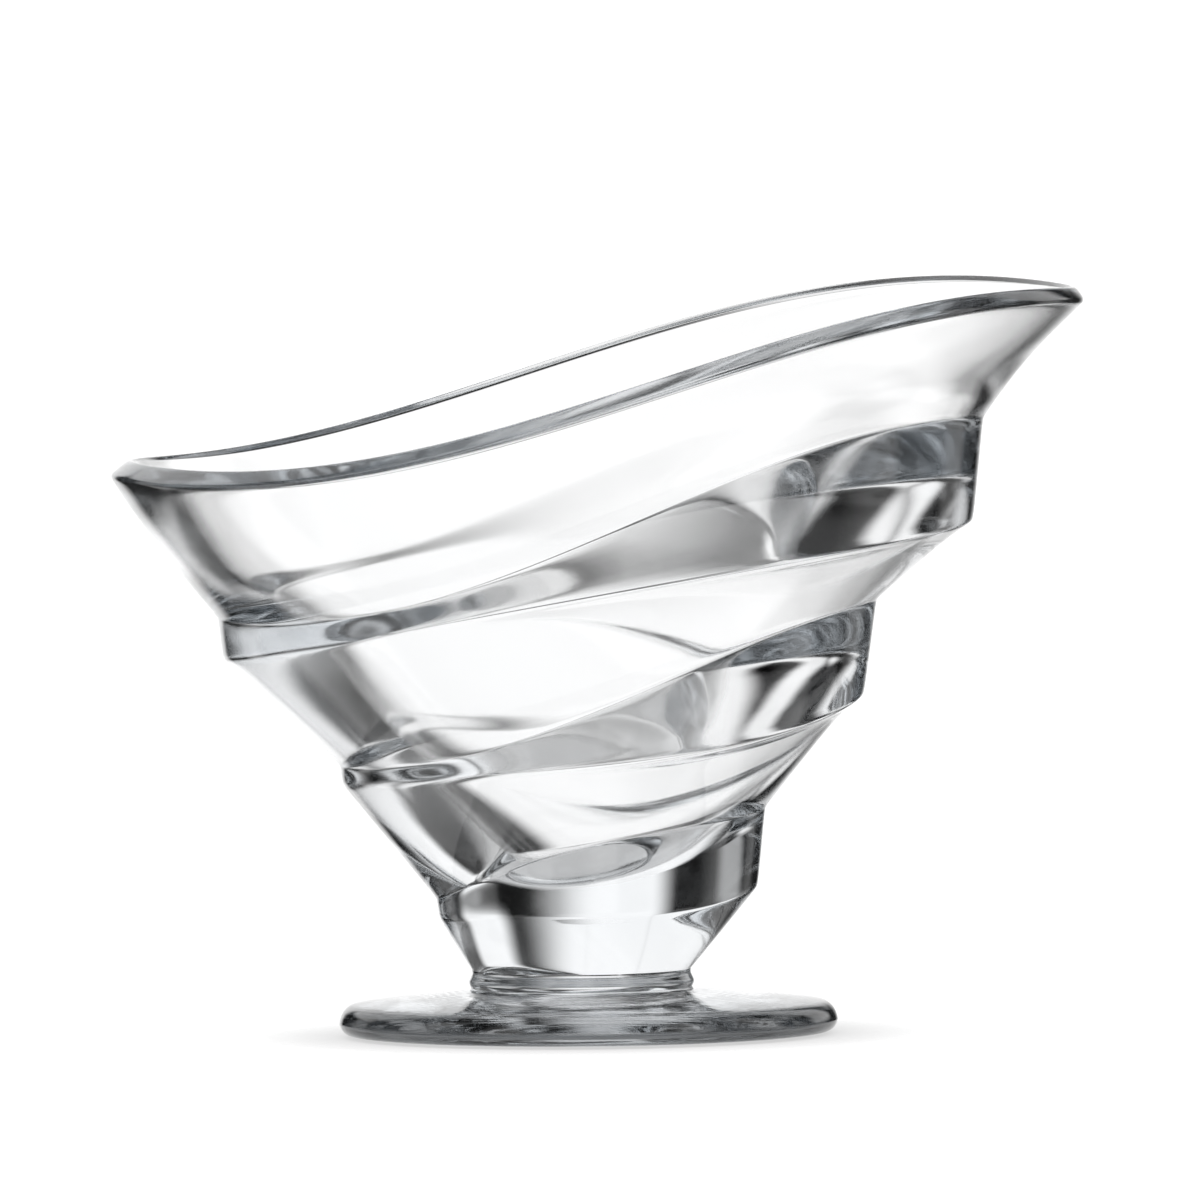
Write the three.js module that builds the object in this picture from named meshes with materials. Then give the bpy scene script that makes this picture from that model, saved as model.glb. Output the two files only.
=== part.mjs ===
import * as THREE from 'three';

// Clear pressed glass dessert coupe: a wavy stepped bowl on a joining collar and a round foot.
// Millimetres, Z up. Z = 0 is the table and the Z axis runs through the middle of the mouth.
// The low lip faces -X, the high lip faces +X, and the XZ plane mirrors the part.

// Foot: a round plate with a rounded edge, a shallow hollow under it and a flat landing on top.
const footRadius = 37.5;
const footShift = -2.2;
const footEdgeUnder = 2.0;
const footEdgeOver = 3.0;
const footHeight = 7.0;
const landingRadius = 18.6;
const hollowRadius = 26.0;
const hollowDepth = 1.2;

// Collar: the small bead of glass that joins bowl and foot.
const collarShift = -3.2;
const collarHeight = 2.7;
const collarFootRadius = 16.6;
const beadRadius = 17.15;
const beadLift = 0.9;
const waistRadius = 16.35;
const waistLift = 2.0;
const neckRadius = 16.5;

// Bowl outside, from the neck up. Every ring is a circle in plan, moved along X by its shift. It
// rises and falls about its level above the neck: by tilt across the bowl, and by sway in the S of
// the wave.
const step3Low = { radius: 24.0, shift: -0.5, level: 9.6, tilt: 1.7, lift: 0.5, sway: 0.5 };
const step3Top = { radius: 24.75, shift: -0.1, level: 19.0, tilt: 6.1, lift: -1.5, sway: 0.5 };
const step2Low = { radius: 39.3, shift: 0.45, level: 33.5, tilt: 5.8, lift: 1.0, sway: 0.6 };
const step2Top = { radius: 40.4, shift: 1.3, level: 43.0, tilt: 13.3, lift: 0.1, sway: -1.2 };
const step1Low = { radius: 56.5, shift: -0.1, level: 58.0, tilt: 9.6, lift: -0.9, sway: 0.2 };
const step1Top = { radius: 57.6, shift: 0.35, level: 68.5, tilt: 16.9, lift: -0.7, sway: -2.5 };
const lipMiddle = { radius: 65.7, shift: -1.2, level: 78.7, tilt: 15.75, lift: -0.6, sway: -2.55 };
const rim = { radius: 72.2, shift: 0.45, level: 88.8, tilt: 14.8, lift: -0.2, sway: -2.45 };

// Narrow ledges under the two upper steps, measured from the lower edge of the step.
const ledge2 = { inward: 1.9, downward: 1.3, shift: -0.8 };
const ledge1 = { inward: 2.4, downward: 1.8, shift: -0.8 };

// Rim: the wall ends in a flat edge that slopes down to the outside. From the mean, the wall thins to
// the high lip and thickens to the low lip.
const rimWall = 3.6;
const rimThinning = 0.6;
const rimSlope = 0.25;

// Roundings of the rim and of the step edges.
const rimEdgeReach = 0.9;
const lowEdgeReach = 0.8;
const topEdgeReach = 0.6;

// Bowl inside: a smooth leaning cone, so the wall is thin at the lip and thick at the base.
const lipInside = { radius: 58.3, shift: -0.7, level: 75.7, tilt: 14.9, lift: -0.6, sway: -2.55 };
const mouthInside = { radius: 55.0, shift: 1.5, level: 71.7, tilt: 16.0, lift: -0.7, sway: -2.1 };
const highInside = { radius: 43.3, shift: 3.0, level: 55.5, tilt: 12.0, lift: -0.6, sway: -0.3 };
const middleInside = { radius: 33.4, shift: 2.8, level: 42.9, tilt: 9.1, lift: 0, sway: -0.8 };
const lowInside = { radius: 24.4, shift: 1.2, level: 29.6, tilt: 3.4, lift: 0.2, sway: 0 };
const basin = { radius: 12.1, shift: -0.8, level: 15.5, tilt: 1.9, lift: 0, sway: 0 };
const basinFloor = { shift: -2.8, level: 13.4 };

// Fineness of the surfaces.
const around = 72;
const insideSteps = 14;
const arcSteps = 3;

const neck = { radius: neckRadius, shift: collarShift, level: 0, tilt: 0, lift: 0, sway: 0 };

// Colourless glass; every sub-part has a material of its own.
function glass() {
  return new THREE.MeshStandardMaterial({
    color: 0xe9eeee,
    roughness: 0.04,
    metalness: 0,
    transparent: true,
    opacity: 0.45,
  });
}

// The point of a ring at an angle about Z.
function onRing(ring, angle) {
  const { radius, shift, level, tilt, lift, sway } = ring;
  const wave = tilt * Math.cos(angle) + lift * Math.cos(2 * angle) + sway * Math.cos(3 * angle);
  return new THREE.Vector3(shift + radius * Math.cos(angle), radius * Math.sin(angle), level + wave);
}

// The inner corner of a ledge under the lower edge of a step.
function underStep(ring, ledge) {
  return {
    ...ring,
    radius: ring.radius - ledge.inward,
    shift: ring.shift + ledge.shift,
    level: ring.level - ledge.downward,
  };
}

// Three points that round a corner between its neighbours.
function rounded(before, corner, after, reach) {
  const start = corner.clone().add(before.clone().sub(corner).setLength(reach));
  const end = corner.clone().add(after.clone().sub(corner).setLength(reach));
  const middle = start.clone().add(end).multiplyScalar(0.25).addScaledVector(corner, 0.5);
  return [start, middle, end];
}

// Outside of the bowl at an angle: flares and steps, with every step edge rounded.
function outsideColumn(angle) {
  const corners = [
    { ring: neck },
    { ring: step3Low, reach: lowEdgeReach },
    { ring: step3Top, reach: topEdgeReach },
    { ring: underStep(step2Low, ledge2) },
    { ring: step2Low, reach: lowEdgeReach },
    { ring: step2Top, reach: topEdgeReach },
    { ring: underStep(step1Low, ledge1) },
    { ring: step1Low, reach: lowEdgeReach },
    { ring: step1Top, reach: topEdgeReach },
    { ring: lipMiddle },
  ];
  const points = corners.map(({ ring }) => onRing(ring, angle));
  return corners.flatMap(({ reach }, i) => (
    reach ? rounded(points[i - 1], points[i], points[i + 1], reach) : [points[i]]));
}

// A corner of the rim at an angle, half a wall from its middle: outer (side 1) or inner (side -1).
function rimCorner(angle, side) {
  const middle = onRing(rim, angle);
  const flare = middle.clone().sub(onRing(lipMiddle, angle));
  const radial = new THREE.Vector3(Math.cos(angle), Math.sin(angle), 0);
  const along = new THREE.Vector2(flare.dot(radial), flare.z).normalize();
  const half = (side * (rimWall - rimThinning * Math.cos(angle))) / 2;
  const corner = middle.addScaledVector(radial, half * (along.y - rimSlope * along.x));
  corner.z -= half * (along.x + rimSlope * along.y);
  return corner;
}

// Edge of the rim at an angle, from its outside to its inside, with both corners rounded.
function rimColumn(angle) {
  const outer = rimCorner(angle, 1);
  const inner = rimCorner(angle, -1);
  return [
    ...rounded(onRing(lipMiddle, angle), outer, inner, rimEdgeReach),
    ...rounded(outer, inner, onRing(lipInside, angle), rimEdgeReach),
  ];
}

const basinMiddle = new THREE.Vector3(basinFloor.shift, 0, basinFloor.level);

// Inside of the bowl at an angle: a smooth run from the rim down to the middle of the basin.
function insideColumn(angle, lip) {
  const rings = [lipInside, mouthInside, highInside, middleInside, lowInside, basin];
  const down = rings.map((ring) => onRing(ring, angle));
  const beyond = onRing(basin, angle + Math.PI);
  const knots = [lip, ...down, basinMiddle, beyond];
  const run = new THREE.CatmullRomCurve3(knots);
  const end = (knots.length - 2) / (knots.length - 1);
  return Array.from({ length: insideSteps - 1 }, (_, i) => run.getPoint((end * (i + 1)) / insideSteps));
}

function bowlColumn(angle) {
  const lip = rimColumn(angle);
  return [...outsideColumn(angle), ...lip, ...insideColumn(angle, lip.at(-1))];
}

// The bowl as one closed skin: columns of points around the axis, closed at the neck and the basin.
function makeBowl() {
  const columns = Array.from({ length: around }, (_, i) => bowlColumn((2 * Math.PI * i) / around));
  const rows = columns[0].length;
  const skin = columns.flat();
  const neckMiddle = skin.length;
  const points = [...skin, new THREE.Vector3(neck.shift, 0, neck.level), basinMiddle];
  const faces = [];
  columns.forEach((_, i) => {
    const here = i * rows;
    const next = ((i + 1) % around) * rows;
    for (let row = 0; row + 1 < rows; row += 1) {
      faces.push(here + row, next + row, next + row + 1);
      faces.push(here + row, next + row + 1, here + row + 1);
    }
    faces.push(neckMiddle, next, here);
    faces.push(here + rows - 1, next + rows - 1, neckMiddle + 1);
  });
  const geometry = new THREE.BufferGeometry().setFromPoints(points);
  geometry.setIndex(faces);
  geometry.computeVertexNormals();
  return new THREE.Mesh(geometry, glass());
}

// A turned piece from the outline of its half section, standing on its axis.
function turned(outline) {
  const geometry = new THREE.LatheGeometry(outline.getPoints(arcSteps), around);
  geometry.rotateX(Math.PI / 2);
  return new THREE.Mesh(geometry, glass());
}

function makeCollar() {
  const outline = new THREE.Path()
    .moveTo(0, 0)
    .lineTo(collarFootRadius, 0)
    .lineTo(beadRadius, beadLift)
    .lineTo(waistRadius, waistLift)
    .lineTo(neckRadius, collarHeight)
    .lineTo(0, collarHeight);
  return turned(outline);
}

function makeFoot() {
  const overRadius = footRadius - footEdgeOver;
  const underRadius = footRadius - footEdgeUnder;
  const outline = new THREE.Path()
    .moveTo(0, hollowDepth)
    .quadraticCurveTo(hollowRadius / 2, hollowDepth, hollowRadius, 0)
    .lineTo(underRadius, 0)
    .absarc(underRadius, footEdgeUnder, footEdgeUnder, -Math.PI / 2, 0)
    .absarc(overRadius, footEdgeUnder, footEdgeOver, 0, Math.PI / 2)
    .lineTo(landingRadius, footHeight)
    .lineTo(0, footHeight);
  return turned(outline);
}

const foot = makeFoot();
foot.name = 'foot';
foot.position.x = footShift;

const collar = makeCollar();
collar.name = 'collar';
collar.position.set(collarShift, 0, footHeight);

const bowl = makeBowl();
bowl.name = 'bowl';
bowl.position.z = footHeight + collarHeight;

const coupe = new THREE.Group();
coupe.add(foot, collar, bowl);

export default coupe;
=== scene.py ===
# %% [markdown]
# A dessert coupe of clear pressed glass: a tall bowl with three wavy steps, a small collar under it
# and a round foot. On the real one the three are fused while hot, so light runs from one into the
# next without a break. Here each is a closed piece of its own that takes the place of its CAD solid,
# and the last cells set up the studio that clear glass needs to be seen at all.

# %% Load the frame
import math

import bmesh
import bpy
from mathutils import Matrix, Vector


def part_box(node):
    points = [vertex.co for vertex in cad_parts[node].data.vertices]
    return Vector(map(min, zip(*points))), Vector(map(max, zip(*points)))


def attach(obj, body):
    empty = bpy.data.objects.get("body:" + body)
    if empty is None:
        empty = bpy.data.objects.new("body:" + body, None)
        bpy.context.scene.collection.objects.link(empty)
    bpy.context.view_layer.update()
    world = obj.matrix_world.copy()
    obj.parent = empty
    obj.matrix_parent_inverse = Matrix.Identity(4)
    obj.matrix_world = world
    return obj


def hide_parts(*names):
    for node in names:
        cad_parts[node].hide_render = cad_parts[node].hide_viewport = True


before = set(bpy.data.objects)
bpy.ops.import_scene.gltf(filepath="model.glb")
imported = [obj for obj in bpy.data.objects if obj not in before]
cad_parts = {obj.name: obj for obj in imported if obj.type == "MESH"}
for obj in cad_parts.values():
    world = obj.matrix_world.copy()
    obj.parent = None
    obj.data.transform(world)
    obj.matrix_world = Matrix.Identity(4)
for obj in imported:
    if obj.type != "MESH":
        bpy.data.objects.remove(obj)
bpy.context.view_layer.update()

bpy.ops.object.select_all(action="DESELECT")

# %% [markdown]
# Glass shows each bump of its surface twice, in its shine and in what is seen through it. A mesh cut
# from many small pieces would glitter, so the coupe is built from a few exact rings, and a
# subdivision surface rounds what lies between them. A ring of this bowl is a circle in plan. Its
# height waves on the way round: it tilts across the bowl, and it sways in an S along each side.

# %% A waved ring
MM = 0.001


class Ring:
    """A waved ring, in millimetres. Called with an angle, it gives the point there, in metres."""

    def __init__(self, radius, shift, level, tilt=0.0, lift=0.0, sway=0.0):
        self.radius = radius
        self.shift = shift
        self.level = level
        self.waves = (tilt, lift, sway)

    def __call__(self, angle):
        wave = sum(height * math.cos((turn + 1) * angle) for turn, height in enumerate(self.waves))
        x = self.shift + self.radius * math.cos(angle)
        return MM * Vector((x, self.radius * math.sin(angle), self.level + wave))


# %% [markdown]
# The heights where the pieces meet are read from the frame, so the glass follows the solids if they
# change. From there up, each ring is a shoulder or a lower edge of a step of the bowl.

# %% Rings of the bowl
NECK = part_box("bowl")[0].z / MM
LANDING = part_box("collar")[0].z / MM
foot_low, foot_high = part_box("foot")
FOOT_SHIFT = (foot_low.x + foot_high.x) / 2 / MM
FOOT_RADIUS = (foot_high.x - foot_low.x) / 2 / MM
collar_low, collar_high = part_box("collar")
COLLAR_SHIFT = (collar_low.x + collar_high.x) / 2 / MM

neck = Ring(16.5, COLLAR_SHIFT, NECK)
step3_low = Ring(24.0, -0.5, NECK + 9.6, 1.7, 0.5, 0.5)
step3_top = Ring(24.75, -0.1, NECK + 19.0, 6.1, -1.5, 0.5)
ledge2 = Ring(37.4, -0.35, NECK + 32.2, 5.8, 1.0, 0.6)
step2_low = Ring(39.3, 0.45, NECK + 33.5, 5.8, 1.0, 0.6)
step2_top = Ring(40.4, 1.3, NECK + 43.0, 13.3, 0.1, -1.2)
ledge1 = Ring(54.1, -0.9, NECK + 56.2, 9.6, -0.9, 0.2)
step1_low = Ring(56.5, -0.1, NECK + 58.0, 9.6, -0.9, 0.2)
step1_top = Ring(57.6, 0.35, NECK + 68.5, 16.9, -0.7, -2.5)
lip_middle = Ring(65.7, -1.2, NECK + 78.7, 15.75, -0.6, -2.55)
rim_middle = Ring(72.2, 0.45, NECK + 88.8, 14.8, -0.2, -2.45)

lip_inside = Ring(58.3, -0.7, NECK + 75.7, 14.9, -0.6, -2.55)
mouth_inside = Ring(55.0, 1.5, NECK + 71.7, 16.0, -0.7, -2.1)
high_inside = Ring(43.3, 3.0, NECK + 55.5, 12.0, -0.6, -0.3)
middle_inside = Ring(33.4, 2.8, NECK + 42.9, 9.1, 0.0, -0.8)
low_inside = Ring(24.4, 1.2, NECK + 29.6, 3.4, 0.2)
basin = Ring(12.1, -0.8, NECK + 15.5, 1.9)
basin_floor = Ring(4.0, -2.2, NECK + 13.3, 0.5)
print("neck at", round(NECK, 2), "mm, foot radius", round(FOOT_RADIUS, 2), "mm")

# %% [markdown]
# The wall ends in a flat edge, a little softened by the fire. The edge slopes down to the outside, so
# from the front one looks into it, along the wall, and it shows as a dark band round the mouth.

# %% Corners of the rim
RIM_WALL = 3.6
RIM_THINNING = 0.6
RIM_SLOPE = 0.25


class RimCorner:
    """The outer (side 1) or inner (side -1) corner of the rim before it is rounded."""

    def __init__(self, side):
        self.side = side
        self.shift = rim_middle.shift

    def __call__(self, angle):
        radial = Vector((math.cos(angle), math.sin(angle), 0))
        flare = rim_middle(angle) - lip_middle(angle)
        along = Vector((flare.dot(radial), flare.z)).normalized()
        across = Vector((along.y, -along.x)) - RIM_SLOPE * along
        wall = RIM_WALL - RIM_THINNING * math.cos(angle)
        offset = MM * self.side * wall / 2 * across
        return rim_middle(angle) + radial * offset.x + Vector((0, 0, offset.y))


rim_outside = RimCorner(1)
rim_inside = RimCorner(-1)
for lip, angle in (("high", 0.0), ("low", math.pi)):
    wall = (rim_outside(angle) - rim_inside(angle)).length / MM
    print("edge of the", lip, "lip:", round(wall, 2), "mm")

# %% [markdown]
# By hand one would add a circle, extrude it, and move each new loop to its place. The helpers below
# do just that: they extrude from ring to ring, find a ring again by its place, bevel it, fill it or
# crease it. A crease keeps the flat joins sharp under the subdivision surface.

# %% Build a piece ring by ring
SIDES = 96
SMOOTHING = 2


def angle_on(vert, shift):
    return math.atan2(vert.co.y, vert.co.x - MM * shift)


def settle(place, old_shift):
    """Puts the selected loop on its ring, each point at the angle it had about the old middle."""
    data = bpy.context.object.data
    mesh = bmesh.from_edit_mesh(data)
    for vert in mesh.verts:
        if vert.select:
            vert.co = place(angle_on(vert, old_shift))
    bmesh.update_edit_mesh(data)


def stack_rings(name, places):
    """Starts from a circle and extrudes it from ring to ring. The new object stays in edit mode."""
    bpy.ops.mesh.primitive_circle_add(vertices=SIDES, radius=1, location=(0, 0, 0))
    piece = bpy.context.object
    piece.name = name
    piece.data.name = name
    bpy.ops.object.mode_set(mode="EDIT")
    bpy.ops.mesh.select_all(action="SELECT")
    shift = 0.0
    for count, place in enumerate(places):
        if count:
            bpy.ops.mesh.extrude_region_move()
        settle(place, shift)
        shift = place.shift
    return piece


def select_ring(place, reach=1e-5):
    """Selects the edges of a ring by the places of their points."""
    bpy.ops.mesh.select_mode(type="EDGE")
    bpy.ops.mesh.select_all(action="DESELECT")
    data = bpy.context.object.data
    mesh = bmesh.from_edit_mesh(data)
    on_ring = set()
    for vert in mesh.verts:
        if (place(angle_on(vert, place.shift)) - vert.co).length < reach:
            on_ring.add(vert)
    count = 0
    for edge in mesh.edges:
        edge.select_set(all(vert in on_ring for vert in edge.verts))
        count += edge.select
    bmesh.update_edit_mesh(data)
    return count


def bevel_rings(places, width, segments):
    for place in places:
        found = select_ring(place)
        bpy.ops.mesh.bevel(offset=MM * width, segments=segments, profile=0.5, affect="EDGES")
        print("bevelled", found, "edges by", width, "mm")


def fill_ring(place):
    """Fills a ring with a grid, which bends smoothly under the subdivision surface."""
    select_ring(place)
    bpy.ops.mesh.fill_grid(span=SIDES // 4)


def join_ring(place):
    """Closes a ring with the flat face where this piece is fused to the next."""
    select_ring(place)
    bpy.ops.mesh.edge_face_add()
    bpy.ops.transform.edge_crease(value=1)


# %% [markdown]
# Materials are trees of nodes. A few helpers keep them short: a new material with its output, a node
# that calculates, a node that turns one range of numbers into another, and the distance from an axis.

# %% Helpers for materials
def new_material(name):
    material = bpy.data.materials.new(name)
    material.use_nodes = True
    material.node_tree.nodes.clear()
    output = material.node_tree.nodes.new("ShaderNodeOutputMaterial")
    return material, material.node_tree, output


def math_node(tree, operation, *values):
    """Calculates with sockets or numbers. Returns its output."""
    node = tree.nodes.new("ShaderNodeMath")
    node.operation = operation
    for slot, value in zip(node.inputs, values):
        if isinstance(value, float):
            slot.default_value = value
        else:
            tree.links.new(value, slot)
    return node.outputs[0]


def map_node(tree, value, start, end, low=0.0, high=1.0):
    """Runs softly from low to high while the value runs from start to end. Returns its output."""
    node = tree.nodes.new("ShaderNodeMapRange")
    node.interpolation_type = "SMOOTHSTEP"
    tree.links.new(value, node.inputs["Value"])
    for name, number in (("From Min", start), ("From Max", end), ("To Min", low), ("To Max", high)):
        node.inputs[name].default_value = number
    return node.outputs["Result"]


def distance_node(tree, coords, shift):
    """The distance from an upright axis on X, in metres. Returns its output."""
    flat = tree.nodes.new("ShaderNodeVectorMath")
    flat.operation = "MULTIPLY"
    flat.inputs[1].default_value = (1, 1, 0)
    tree.links.new(coords.outputs["Object"], flat.inputs[0])
    apart = tree.nodes.new("ShaderNodeVectorMath")
    apart.operation = "DISTANCE"
    apart.inputs[1].default_value = (MM * shift, 0, 0)
    tree.links.new(flat.outputs["Vector"], apart.inputs[0])
    return apart.outputs["Value"]


# %% [markdown]
# Where two pieces are fused there is no surface in the real glass. So the flat faces that meet there
# let light straight through, and nothing bends or shines at the join. The collar keeps a hair's
# breadth clear of its neighbours, so that light always meets the two faces one after the other.

# %% Fused joins
JOIN_GAP = 0.01
JOIN_RADIUS = 16.61


def fused_faces(tree, coords):
    """1 on the flat faces of the fused joins and 0 everywhere else."""
    place = tree.nodes.new("ShaderNodeSeparateXYZ")
    tree.links.new(coords.outputs["Object"], place.inputs[0])
    at_neck = math_node(tree, "COMPARE", place.outputs["Z"], MM * NECK, MM * 2 * JOIN_GAP)
    at_landing = math_node(tree, "COMPARE", place.outputs["Z"], MM * LANDING, MM * 2 * JOIN_GAP)
    inward = math_node(tree, "LESS_THAN", distance_node(tree, coords, COLLAR_SHIFT), MM * JOIN_RADIUS)
    return math_node(tree, "MULTIPLY", math_node(tree, "MAXIMUM", at_neck, at_landing), inward)


# %% [markdown]
# The glass is colourless, with a trace of blue-green that only shows where light runs through much of
# it. So the surface stays white and a volume absorption does the tinting. Pressed glass is never quite
# even: the mould leaves slow ripples, which a noise bump of a few micrometres gives. Its shine also
# varies a little, so the roughness is a noise near zero and not one number. Clear glass casts a pale
# shadow, so part of the light on its way to the paper passes it straight.

# %% Glass of the bowl and collar
GLASS_INDEX = 1.52
RIPPLE_SIZE = 45.0
RIPPLE_HEIGHT = 0.000008
SHINE_SIZE = 160.0
SHINE_RANGE = (0.35, 0.75)
ROUGHNESS = (0.035, 0.07)
SHADOW_CLEARNESS = 0.7
BOWL_DENSITY = 24.0
SMOOTH_ANGLE = 40.0
TINT = (0.85, 0.867, 0.882, 1)


def noise_node(tree, coords, scale, detail):
    noise = tree.nodes.new("ShaderNodeTexNoise")
    noise.inputs["Scale"].default_value = scale
    noise.inputs["Detail"].default_value = detail
    tree.links.new(coords.outputs["Object"], noise.inputs["Vector"])
    return noise.outputs["Fac"]


def bump_node(tree, height, distance):
    bump = tree.nodes.new("ShaderNodeBump")
    bump.inputs["Strength"].default_value = 1.0
    bump.inputs["Distance"].default_value = distance
    tree.links.new(height, bump.inputs["Height"])
    return bump


def make_glass(name, density):
    """Clear glass with an uneven shine and a slow ripple. Returns the material, shader and ripple."""
    material, tree, output = new_material(name)
    coords = tree.nodes.new("ShaderNodeTexCoord")
    shader = tree.nodes.new("ShaderNodeBsdfPrincipled")
    shader.inputs["Base Color"].default_value = (1, 1, 1, 1)
    shader.inputs["IOR"].default_value = GLASS_INDEX
    shader.inputs["Transmission Weight"].default_value = 1.0
    shine = map_node(tree, noise_node(tree, coords, SHINE_SIZE, 3.0), *SHINE_RANGE, *ROUGHNESS)
    tree.links.new(shine, shader.inputs["Roughness"])
    ripple = bump_node(tree, noise_node(tree, coords, RIPPLE_SIZE, 1.0), RIPPLE_HEIGHT)
    tree.links.new(ripple.outputs["Normal"], shader.inputs["Normal"])
    depth = tree.nodes.new("ShaderNodeVolumeAbsorption")
    depth.inputs["Color"].default_value = TINT
    depth.inputs["Density"].default_value = density
    tree.links.new(depth.outputs["Volume"], output.inputs["Volume"])
    through = tree.nodes.new("ShaderNodeBsdfTransparent")
    surface = tree.nodes.new("ShaderNodeMixShader")
    path = tree.nodes.new("ShaderNodeLightPath")
    lighter = math_node(tree, "MULTIPLY", path.outputs["Is Shadow Ray"], SHADOW_CLEARNESS)
    clear = math_node(tree, "MAXIMUM", fused_faces(tree, coords), lighter)
    tree.links.new(clear, surface.inputs["Fac"])
    tree.links.new(shader.outputs["BSDF"], surface.inputs[1])
    tree.links.new(through.outputs["BSDF"], surface.inputs[2])
    tree.links.new(surface.outputs["Shader"], output.inputs["Surface"])
    return material, shader, ripple


clear_glass, _, _ = make_glass("clear_glass", BOWL_DENSITY)
print("clear_glass: index", GLASS_INDEX, "roughness", ROUGHNESS)


def finish_piece(piece, glass):
    """Points the faces outwards, gives them their glass, and rounds the piece."""
    bpy.ops.mesh.select_all(action="SELECT")
    bpy.ops.mesh.normals_make_consistent(inside=False)
    bpy.ops.object.mode_set(mode="OBJECT")
    piece.data.materials.append(glass)
    rounding = piece.modifiers.new("rounding", "SUBSURF")
    rounding.levels = SMOOTHING
    rounding.render_levels = SMOOTHING
    bpy.ops.object.modifier_apply(modifier=rounding.name)
    bpy.ops.object.shade_smooth_by_angle(angle=math.radians(SMOOTH_ANGLE))
    print(piece.name, len(piece.data.polygons), "faces")


# %% [markdown]
# The bowl is pressed between a stepped mould and a smooth plunger. Its outside goes from the neck up
# over three steps to the rim, and its inside is a plain leaning cone. So the wall is thin at the lip
# and very thick at the base, and this wedge of glass bends the light into dark bands.

# %% The bowl
RIM_ROUNDING = 0.9
LOW_ROUNDING = 0.8
TOP_ROUNDING = 0.6

bowl_outside = [
    neck, step3_low, step3_top, ledge2, step2_low, step2_top, ledge1, step1_low, step1_top,
    lip_middle, rim_outside,
]
bowl_inside = [
    rim_inside, lip_inside, mouth_inside, high_inside, middle_inside, low_inside, basin, basin_floor,
]
bowl = stack_rings("bowl_glass", bowl_outside + bowl_inside)
fill_ring(basin_floor)
join_ring(neck)
bevel_rings([rim_outside, rim_inside], RIM_ROUNDING, 3)
bevel_rings([step3_low, step2_low, step1_low], LOW_ROUNDING, 2)
bevel_rings([step3_top, step2_top, step1_top], TOP_ROUNDING, 2)
finish_piece(bowl, clear_glass)

# %% [markdown]
# The collar is the bead of glass that squeezes out when the hot bowl is set on its foot: it swells just
# above the foot and draws in again to the neck.

# %% The collar
collar_foot = Ring(16.6, COLLAR_SHIFT, LANDING + JOIN_GAP)
collar_bead = Ring(17.15, COLLAR_SHIFT, LANDING + 0.9)
collar_waist = Ring(16.35, COLLAR_SHIFT, LANDING + 2.0)
collar_neck = Ring(16.5, COLLAR_SHIFT, NECK - JOIN_GAP)
collar = stack_rings("collar_glass", [collar_foot, collar_bead, collar_waist, collar_neck])
join_ring(collar_foot)
join_ring(collar_neck)
finish_piece(collar, clear_glass)

# %% [markdown]
# The foot is pressed flat while it turns, which leaves fine rings on it, about a millimetre apart. A
# wave texture about the middle of the foot gives them as a bump of a few micrometres, and a little
# distortion keeps them from looking machined. The round edge of the plate is darkened with painted
# shade: the surface lets less light through towards the edge.

# %% Glass of the foot
TURNED_RINGS = 285.0
RING_HEIGHT = 0.000008
RING_WAVER = 2.0
RINGS_END = (29.0, 35.0)
# Painted shade on the foot's edge: from this radius outwards, the base colour runs down to the fraction
# below.
PAINTED_SHADE_START = 33.5
EDGE_PAINTED_SHADE = 0.25
FOOT_DENSITY = 36.0


def make_foot_glass():
    material, shader, ripple = make_glass("foot_glass", FOOT_DENSITY)
    tree = material.node_tree
    coords = tree.nodes.new("ShaderNodeTexCoord")
    middle = tree.nodes.new("ShaderNodeMapping")
    middle.inputs["Location"].default_value = (-MM * FOOT_SHIFT, 0, 0)
    tree.links.new(coords.outputs["Object"], middle.inputs["Vector"])
    rings = tree.nodes.new("ShaderNodeTexWave")
    rings.wave_type = "RINGS"
    rings.rings_direction = "Z"
    rings.inputs["Scale"].default_value = TURNED_RINGS
    rings.inputs["Distortion"].default_value = RING_WAVER
    rings.inputs["Detail"].default_value = 2.0
    tree.links.new(middle.outputs["Vector"], rings.inputs["Vector"])
    outward = distance_node(tree, coords, FOOT_SHIFT)
    fade = map_node(tree, outward, MM * RINGS_END[0], MM * RINGS_END[1], 1.0, 0.0)
    turned = bump_node(tree, math_node(tree, "MULTIPLY", rings.outputs["Fac"], fade), RING_HEIGHT)
    # Painted shade: the surface lets less light through towards the edge of the foot.
    edge = map_node(tree, outward, MM * PAINTED_SHADE_START, MM * FOOT_RADIUS, 1.0, EDGE_PAINTED_SHADE)
    tree.links.new(edge, shader.inputs["Base Color"])
    tree.links.new(ripple.outputs["Normal"], turned.inputs["Normal"])
    tree.links.new(turned.outputs["Normal"], shader.inputs["Normal"])
    return material


foot_glass = make_foot_glass()
print("foot_glass: darker from", PAINTED_SHADE_START, "mm out to its edge")

# %% [markdown]
# The foot is a round plate, domed a little on top, with a full round edge and a shallow hollow under
# it, so that it stands on a ring and doesn't rock.

# %% The foot
UNDER_ROUNDING = 1.9
OVER_ROUNDING = 2.6
SLIGHT_ROUNDING = 0.8

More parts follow.
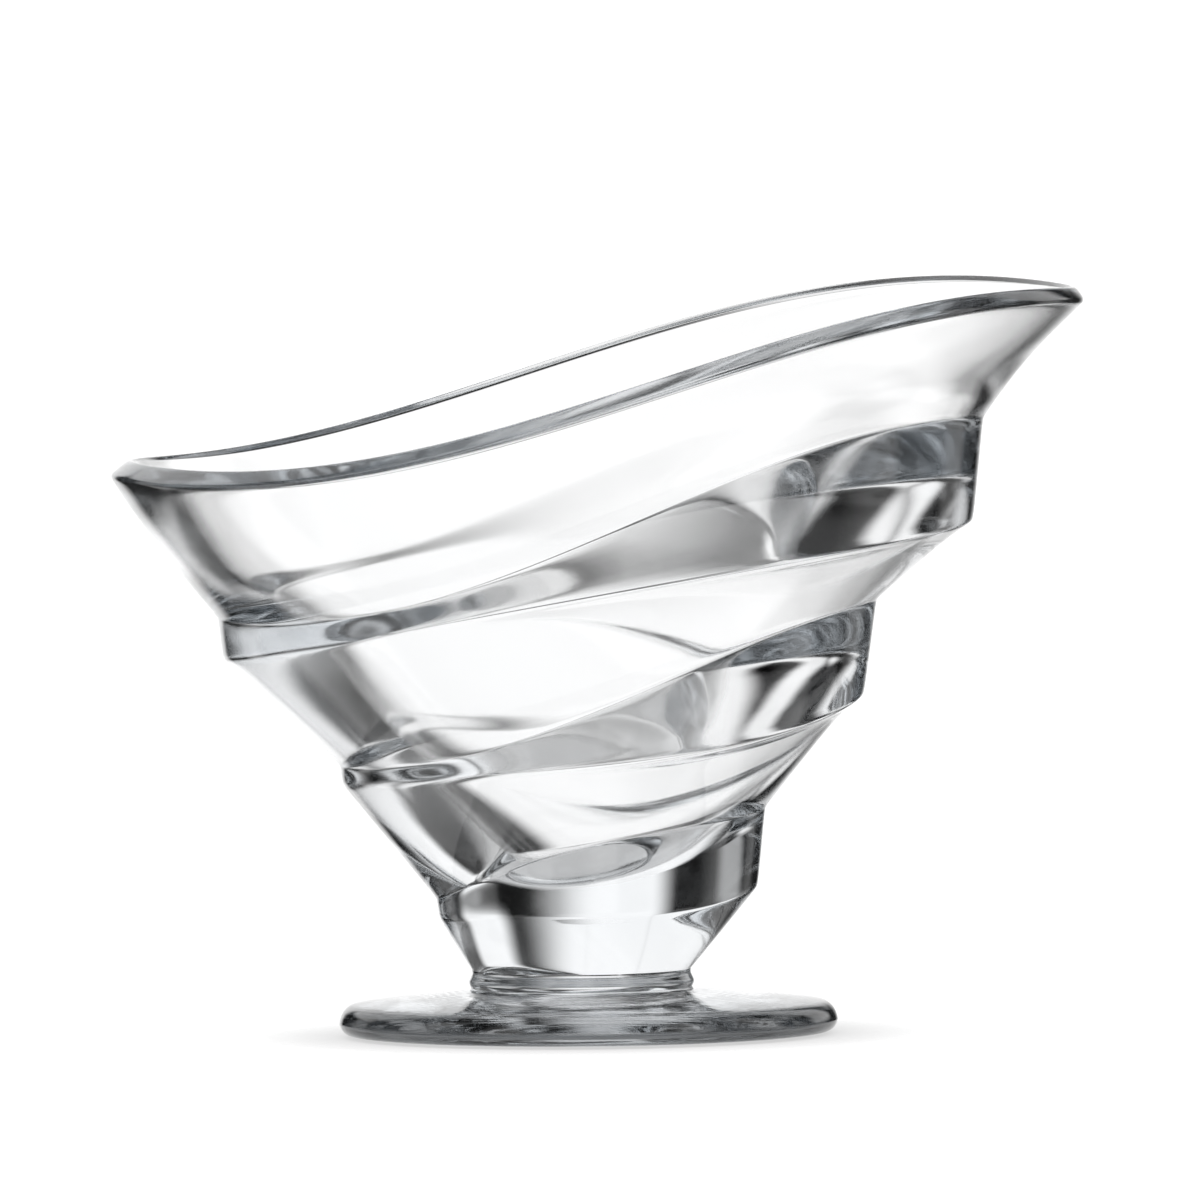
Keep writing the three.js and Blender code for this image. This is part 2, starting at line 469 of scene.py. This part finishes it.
hollow = Ring(7.0, FOOT_SHIFT, 1.15)
hollow_out = Ring(16.0, FOOT_SHIFT, 0.8)
stand_in = Ring(26.0, FOOT_SHIFT, 0.0)
under_edge = Ring(FOOT_RADIUS, FOOT_SHIFT, 0.0)
over_edge = Ring(FOOT_RADIUS, FOOT_SHIFT, 4.62)
landing = Ring(18.6, FOOT_SHIFT, LANDING)
foot_join = Ring(16.6, COLLAR_SHIFT, LANDING)
foot_rings = [hollow, hollow_out, stand_in, under_edge, over_edge, landing, foot_join]
foot = stack_rings("foot_glass", foot_rings)
fill_ring(hollow)
join_ring(foot_join)
bevel_rings([under_edge], UNDER_ROUNDING, 3)
bevel_rings([over_edge], OVER_ROUNDING, 3)
bevel_rings([stand_in, landing], SLIGHT_ROUNDING, 2)
finish_piece(foot, foot_glass)

# %% [markdown]
# Each piece rides on the one rigid body of the part and stands for its CAD solid.

# %% Ride on the body
for piece, node in ((bowl, "bowl"), (collar, "collar"), (foot, "foot")):
    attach(piece, "root")
    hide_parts(node)
    print(piece.name, "stands for", node)

# %% [markdown]
# The coupe stands on a round of plain pale paper. To the camera, in shine and through glass the paper
# glows, which lifts it to white where no shadow falls and leaves a pale shadow in. Away from the foot
# the paper fades into the white of the room, so no edge of it shows.

# %% White paper floor
PAPER = 0.42
GLOW = 0.58
FADE_START = 34.0
FADE_END = 64.0
PAPER_RADIUS = 70.0
PAPER_LEVEL = -0.3


def background_rays(tree):
    """1 for rays of the camera, and 1 for those or for rays seen in a mirror or through glass."""
    path = tree.nodes.new("ShaderNodeLightPath")
    camera_ray = path.outputs["Is Camera Ray"]
    shine = math_node(tree, "MAXIMUM", path.outputs["Is Glossy Ray"], path.outputs["Is Transmission Ray"])
    return camera_ray, math_node(tree, "MAXIMUM", camera_ray, shine)


bpy.ops.mesh.primitive_circle_add(
    vertices=128, radius=MM * PAPER_RADIUS, fill_type="NGON", location=(0, 0, MM * PAPER_LEVEL))
floor = bpy.context.object
floor.name = "floor"
material, tree, output = new_material("white_paper")
paper = tree.nodes.new("ShaderNodeBsdfDiffuse")
paper.inputs["Color"].default_value = (PAPER, PAPER, PAPER, 1)
_, seen = background_rays(tree)
glow = tree.nodes.new("ShaderNodeEmission")
tree.links.new(math_node(tree, "MULTIPLY", seen, GLOW), glow.inputs["Strength"])
both = tree.nodes.new("ShaderNodeAddShader")
tree.links.new(paper.outputs["BSDF"], both.inputs[0])
tree.links.new(glow.outputs["Emission"], both.inputs[1])
outward = distance_node(tree, tree.nodes.new("ShaderNodeTexCoord"), FOOT_SHIFT)
edge = tree.nodes.new("ShaderNodeMixShader")
tree.links.new(map_node(tree, outward, MM * FADE_START, MM * FADE_END), edge.inputs["Fac"])
tree.links.new(both.outputs["Shader"], edge.inputs[1])
tree.links.new(tree.nodes.new("ShaderNodeBsdfTransparent").outputs["BSDF"], edge.inputs[2])
tree.links.new(edge.outputs["Shader"], output.inputs["Surface"])
floor.data.materials.append(material)
print("paper", 2 * PAPER_RADIUS, "mm across, fading from", FADE_START, "mm out")

# %% [markdown]
# Clear glass has no colour of its own: it shows the room. Against plain white all round it would vanish,
# so photographers hang white sheets about it in a dark room. The glass looks clear where it shows a
# sheet, and its thick parts draw the gaps between the sheets out into dark lines. Here a wide sheet
# hangs behind the coupe and smaller ones stand round it, about an eighth of a turn apart, so that it
# looks clear from every side. The ground is pale too, and three dark cloths lie on it behind the coupe:
# they draw the dark swaths on the steps. A row below is a sheet: its start, end, bottom and top, and how
# softly it ends, all in degrees as seen from the coupe, and then how light it is. A cloth has the same
# numbers but the last.

# %% Ring of white sheets
VIEW_TURN = 4.67
SOFT = 9.0
CRISP = 4.0
WHITE = 1.15
GREY = 0.45
SHEETS = [
    (-17.0, 10.0, -22.0, 56.0, SOFT, WHITE),
    (0.0, 14.0, 10.0, 56.0, SOFT, WHITE),
    (27.0, 49.0, 5.0, 50.0, CRISP, WHITE),
    (31.0, 49.0, -24.0, -11.0, CRISP, WHITE),
    (36.0, 50.0, -14.0, 8.0, CRISP, GREY),
    (77.0, 94.0, -24.0, 50.0, SOFT, WHITE),
    (122.0, 139.0, -24.0, 50.0, SOFT, WHITE),
    (166.0, 186.0, -24.0, 50.0, SOFT, WHITE),
    (-148.0, -131.0, -24.0, 50.0, SOFT, WHITE),
    (-103.0, -86.0, -24.0, 50.0, SOFT, WHITE),
    (-52.0, -12.0, 16.0, 50.0, CRISP, WHITE),
    (-52.0, -38.0, -14.0, 19.0, CRISP, GREY),
    (-52.0, -40.0, -24.0, -12.0, CRISP, WHITE),
]
CLOTHS = [
    (-46.0, -20.0, -42.0, -16.0, CRISP),
    (5.0, 37.0, -42.0, -14.0, CRISP),
    (51.0, 74.0, -46.0, -18.0, CRISP),
]
NEAR_EDGE = 4.0
TOP_EDGE = 7.0
FOOT_EDGE = 3.0
GAP = 0.01
GROUND = (-27.0, -21.0)

scene = bpy.context.scene
world = bpy.data.worlds.new("studio")
scene.world = world
world.use_nodes = True
tree = world.node_tree
tree.nodes.clear()
coords = tree.nodes.new("ShaderNodeTexCoord")
apart = tree.nodes.new("ShaderNodeSeparateXYZ")
tree.links.new(coords.outputs["Generated"], apart.inputs[0])
around = math_node(tree, "ARCTAN2", apart.outputs["X"], apart.outputs["Y"])
turn = math_node(tree, "MULTIPLY", around, math.degrees(1))
rise = math_node(tree, "MULTIPLY", math_node(tree, "ARCSINE", apart.outputs["Z"]), math.degrees(1))


def patch(start, end, bottom, top, soft):
    """1 on a patch of the room and 0 off it, with soft edges."""
    half = (end - start) / 2
    aside = math_node(tree, "SUBTRACT", turn, start + half + VIEW_TURN)
    aside = math_node(tree, "WRAP", aside, 180.0, -180.0)
    inside = map_node(tree, aside, -half - NEAR_EDGE, -half + NEAR_EDGE)
    for way, from_edge, to_edge, first, last in (
        (aside, half - soft, half + soft, 1.0, 0.0),
        (rise, bottom - FOOT_EDGE, bottom + FOOT_EDGE, 0.0, 1.0),
        (rise, top - TOP_EDGE, top + TOP_EDGE, 1.0, 0.0),
    ):
        inside = math_node(tree, "MULTIPLY", inside, map_node(tree, way, from_edge, to_edge, first, last))
    return inside


room = map_node(tree, rise, *GROUND, 1.0, GAP)
for cloth in CLOTHS:
    room = math_node(tree, "MULTIPLY", room, math_node(tree, "SUBTRACT", 1.0, patch(*cloth)))
for *sheet, light in SHEETS:
    room = math_node(tree, "MAXIMUM", room, math_node(tree, "MULTIPLY", patch(*sheet), light))

# %% [markdown]
# Three kinds of ray reach this room. The camera sees plain white, glass and shine see the sheets, and the
# matt paper gets an even light.

# %% Light by kind of ray
EVEN_LIGHT = 0.8

camera_ray, seen = background_rays(tree)
seen_in_glass = tree.nodes.new("ShaderNodeMix")
seen_in_glass.inputs["A"].default_value = EVEN_LIGHT
tree.links.new(seen, seen_in_glass.inputs["Factor"])
tree.links.new(room, seen_in_glass.inputs["B"])
strength = math_node(tree, "MAXIMUM", seen_in_glass.outputs["Result"], camera_ray)
background = tree.nodes.new("ShaderNodeBackground")
background.inputs["Color"].default_value = (1, 1, 1, 1)
tree.links.new(strength, background.inputs["Strength"])
sky = tree.nodes.new("ShaderNodeOutputWorld")
tree.links.new(background.outputs["Background"], sky.inputs["Surface"])
print("sheets:", len(SHEETS), "cloths:", len(CLOTHS))

# %% [markdown]
# The rest of the light on the paper comes from one broad soft lamp, high on the camera's side. It lays
# the shadow behind the foot, where the glass shows it again.

# %% Soft lamp
LAMP_HEIGHT = 58.0
LAMP_TURN = -20.0
LAMP_SPREAD = 50.0

lamp_data = bpy.data.lights.new("soft_lamp", "SUN")
lamp_data.angle = math.radians(LAMP_SPREAD)
lamp_data.energy = (1 - EVEN_LIGHT) * math.pi / math.sin(math.radians(LAMP_HEIGHT))
lamp = bpy.data.objects.new("soft_lamp", lamp_data)
scene.collection.objects.link(lamp)
lamp.visible_glossy = False
lamp.visible_transmission = False
lamp.rotation_euler = (math.radians(90 - LAMP_HEIGHT), 0, math.radians(LAMP_TURN))
print("soft lamp", LAMP_HEIGHT, "degrees up, strength", round(lamp_data.energy, 2))

# %% [markdown]
# The photo was taken from far away, a little above the rim, with a long lens. The camera stands at the
# same turn and height, and a slight roll levels the foot as in the picture.

# %% Camera
VIEW_DISTANCE = 3604.0
VIEW_HEIGHT = 216.6
VIEW_ROLL = 0.57
FRAME_WIDTH = 180.0
SENSOR_WIDTH = 36.0
AIM = Vector((0.14, -0.19, 65.1))

camera_data = bpy.data.cameras.new("camera")
camera = bpy.data.objects.new("camera", camera_data)
scene.collection.objects.link(camera)
turned = math.radians(VIEW_TURN)
ahead = Vector((math.sin(turned), math.cos(turned), 0))
stand = Vector((FOOT_SHIFT, 0, VIEW_HEIGHT)) - VIEW_DISTANCE * ahead
look = (AIM - stand).to_track_quat("-Z", "Y").to_matrix().to_4x4()
roll = Matrix.Rotation(-math.radians(VIEW_ROLL), 4, "Z")
camera.matrix_world = Matrix.Translation(MM * stand) @ look @ roll
camera_data.sensor_width = SENSOR_WIDTH
camera_data.lens = SENSOR_WIDTH * VIEW_DISTANCE / FRAME_WIDTH
camera_data.clip_end = 100
scene.camera = camera
print("camera", VIEW_DISTANCE, "mm away, lens", round(camera_data.lens), "mm")

# %% [markdown]
# Light crosses many surfaces on its way through a stack of thick glass, so it may bend and bounce often.

# %% Light paths and colour
GLASS_BOUNCES = 32
SHINE_BOUNCES = 16

scene.view_settings.view_transform = "Standard"
scene.cycles.max_bounces = GLASS_BOUNCES
scene.cycles.transmission_bounces = GLASS_BOUNCES
scene.cycles.glossy_bounces = SHINE_BOUNCES
scene.cycles.transparent_max_bounces = GLASS_BOUNCES
scene.cycles.caustics_refractive = False
scene.cycles.caustics_reflective = False
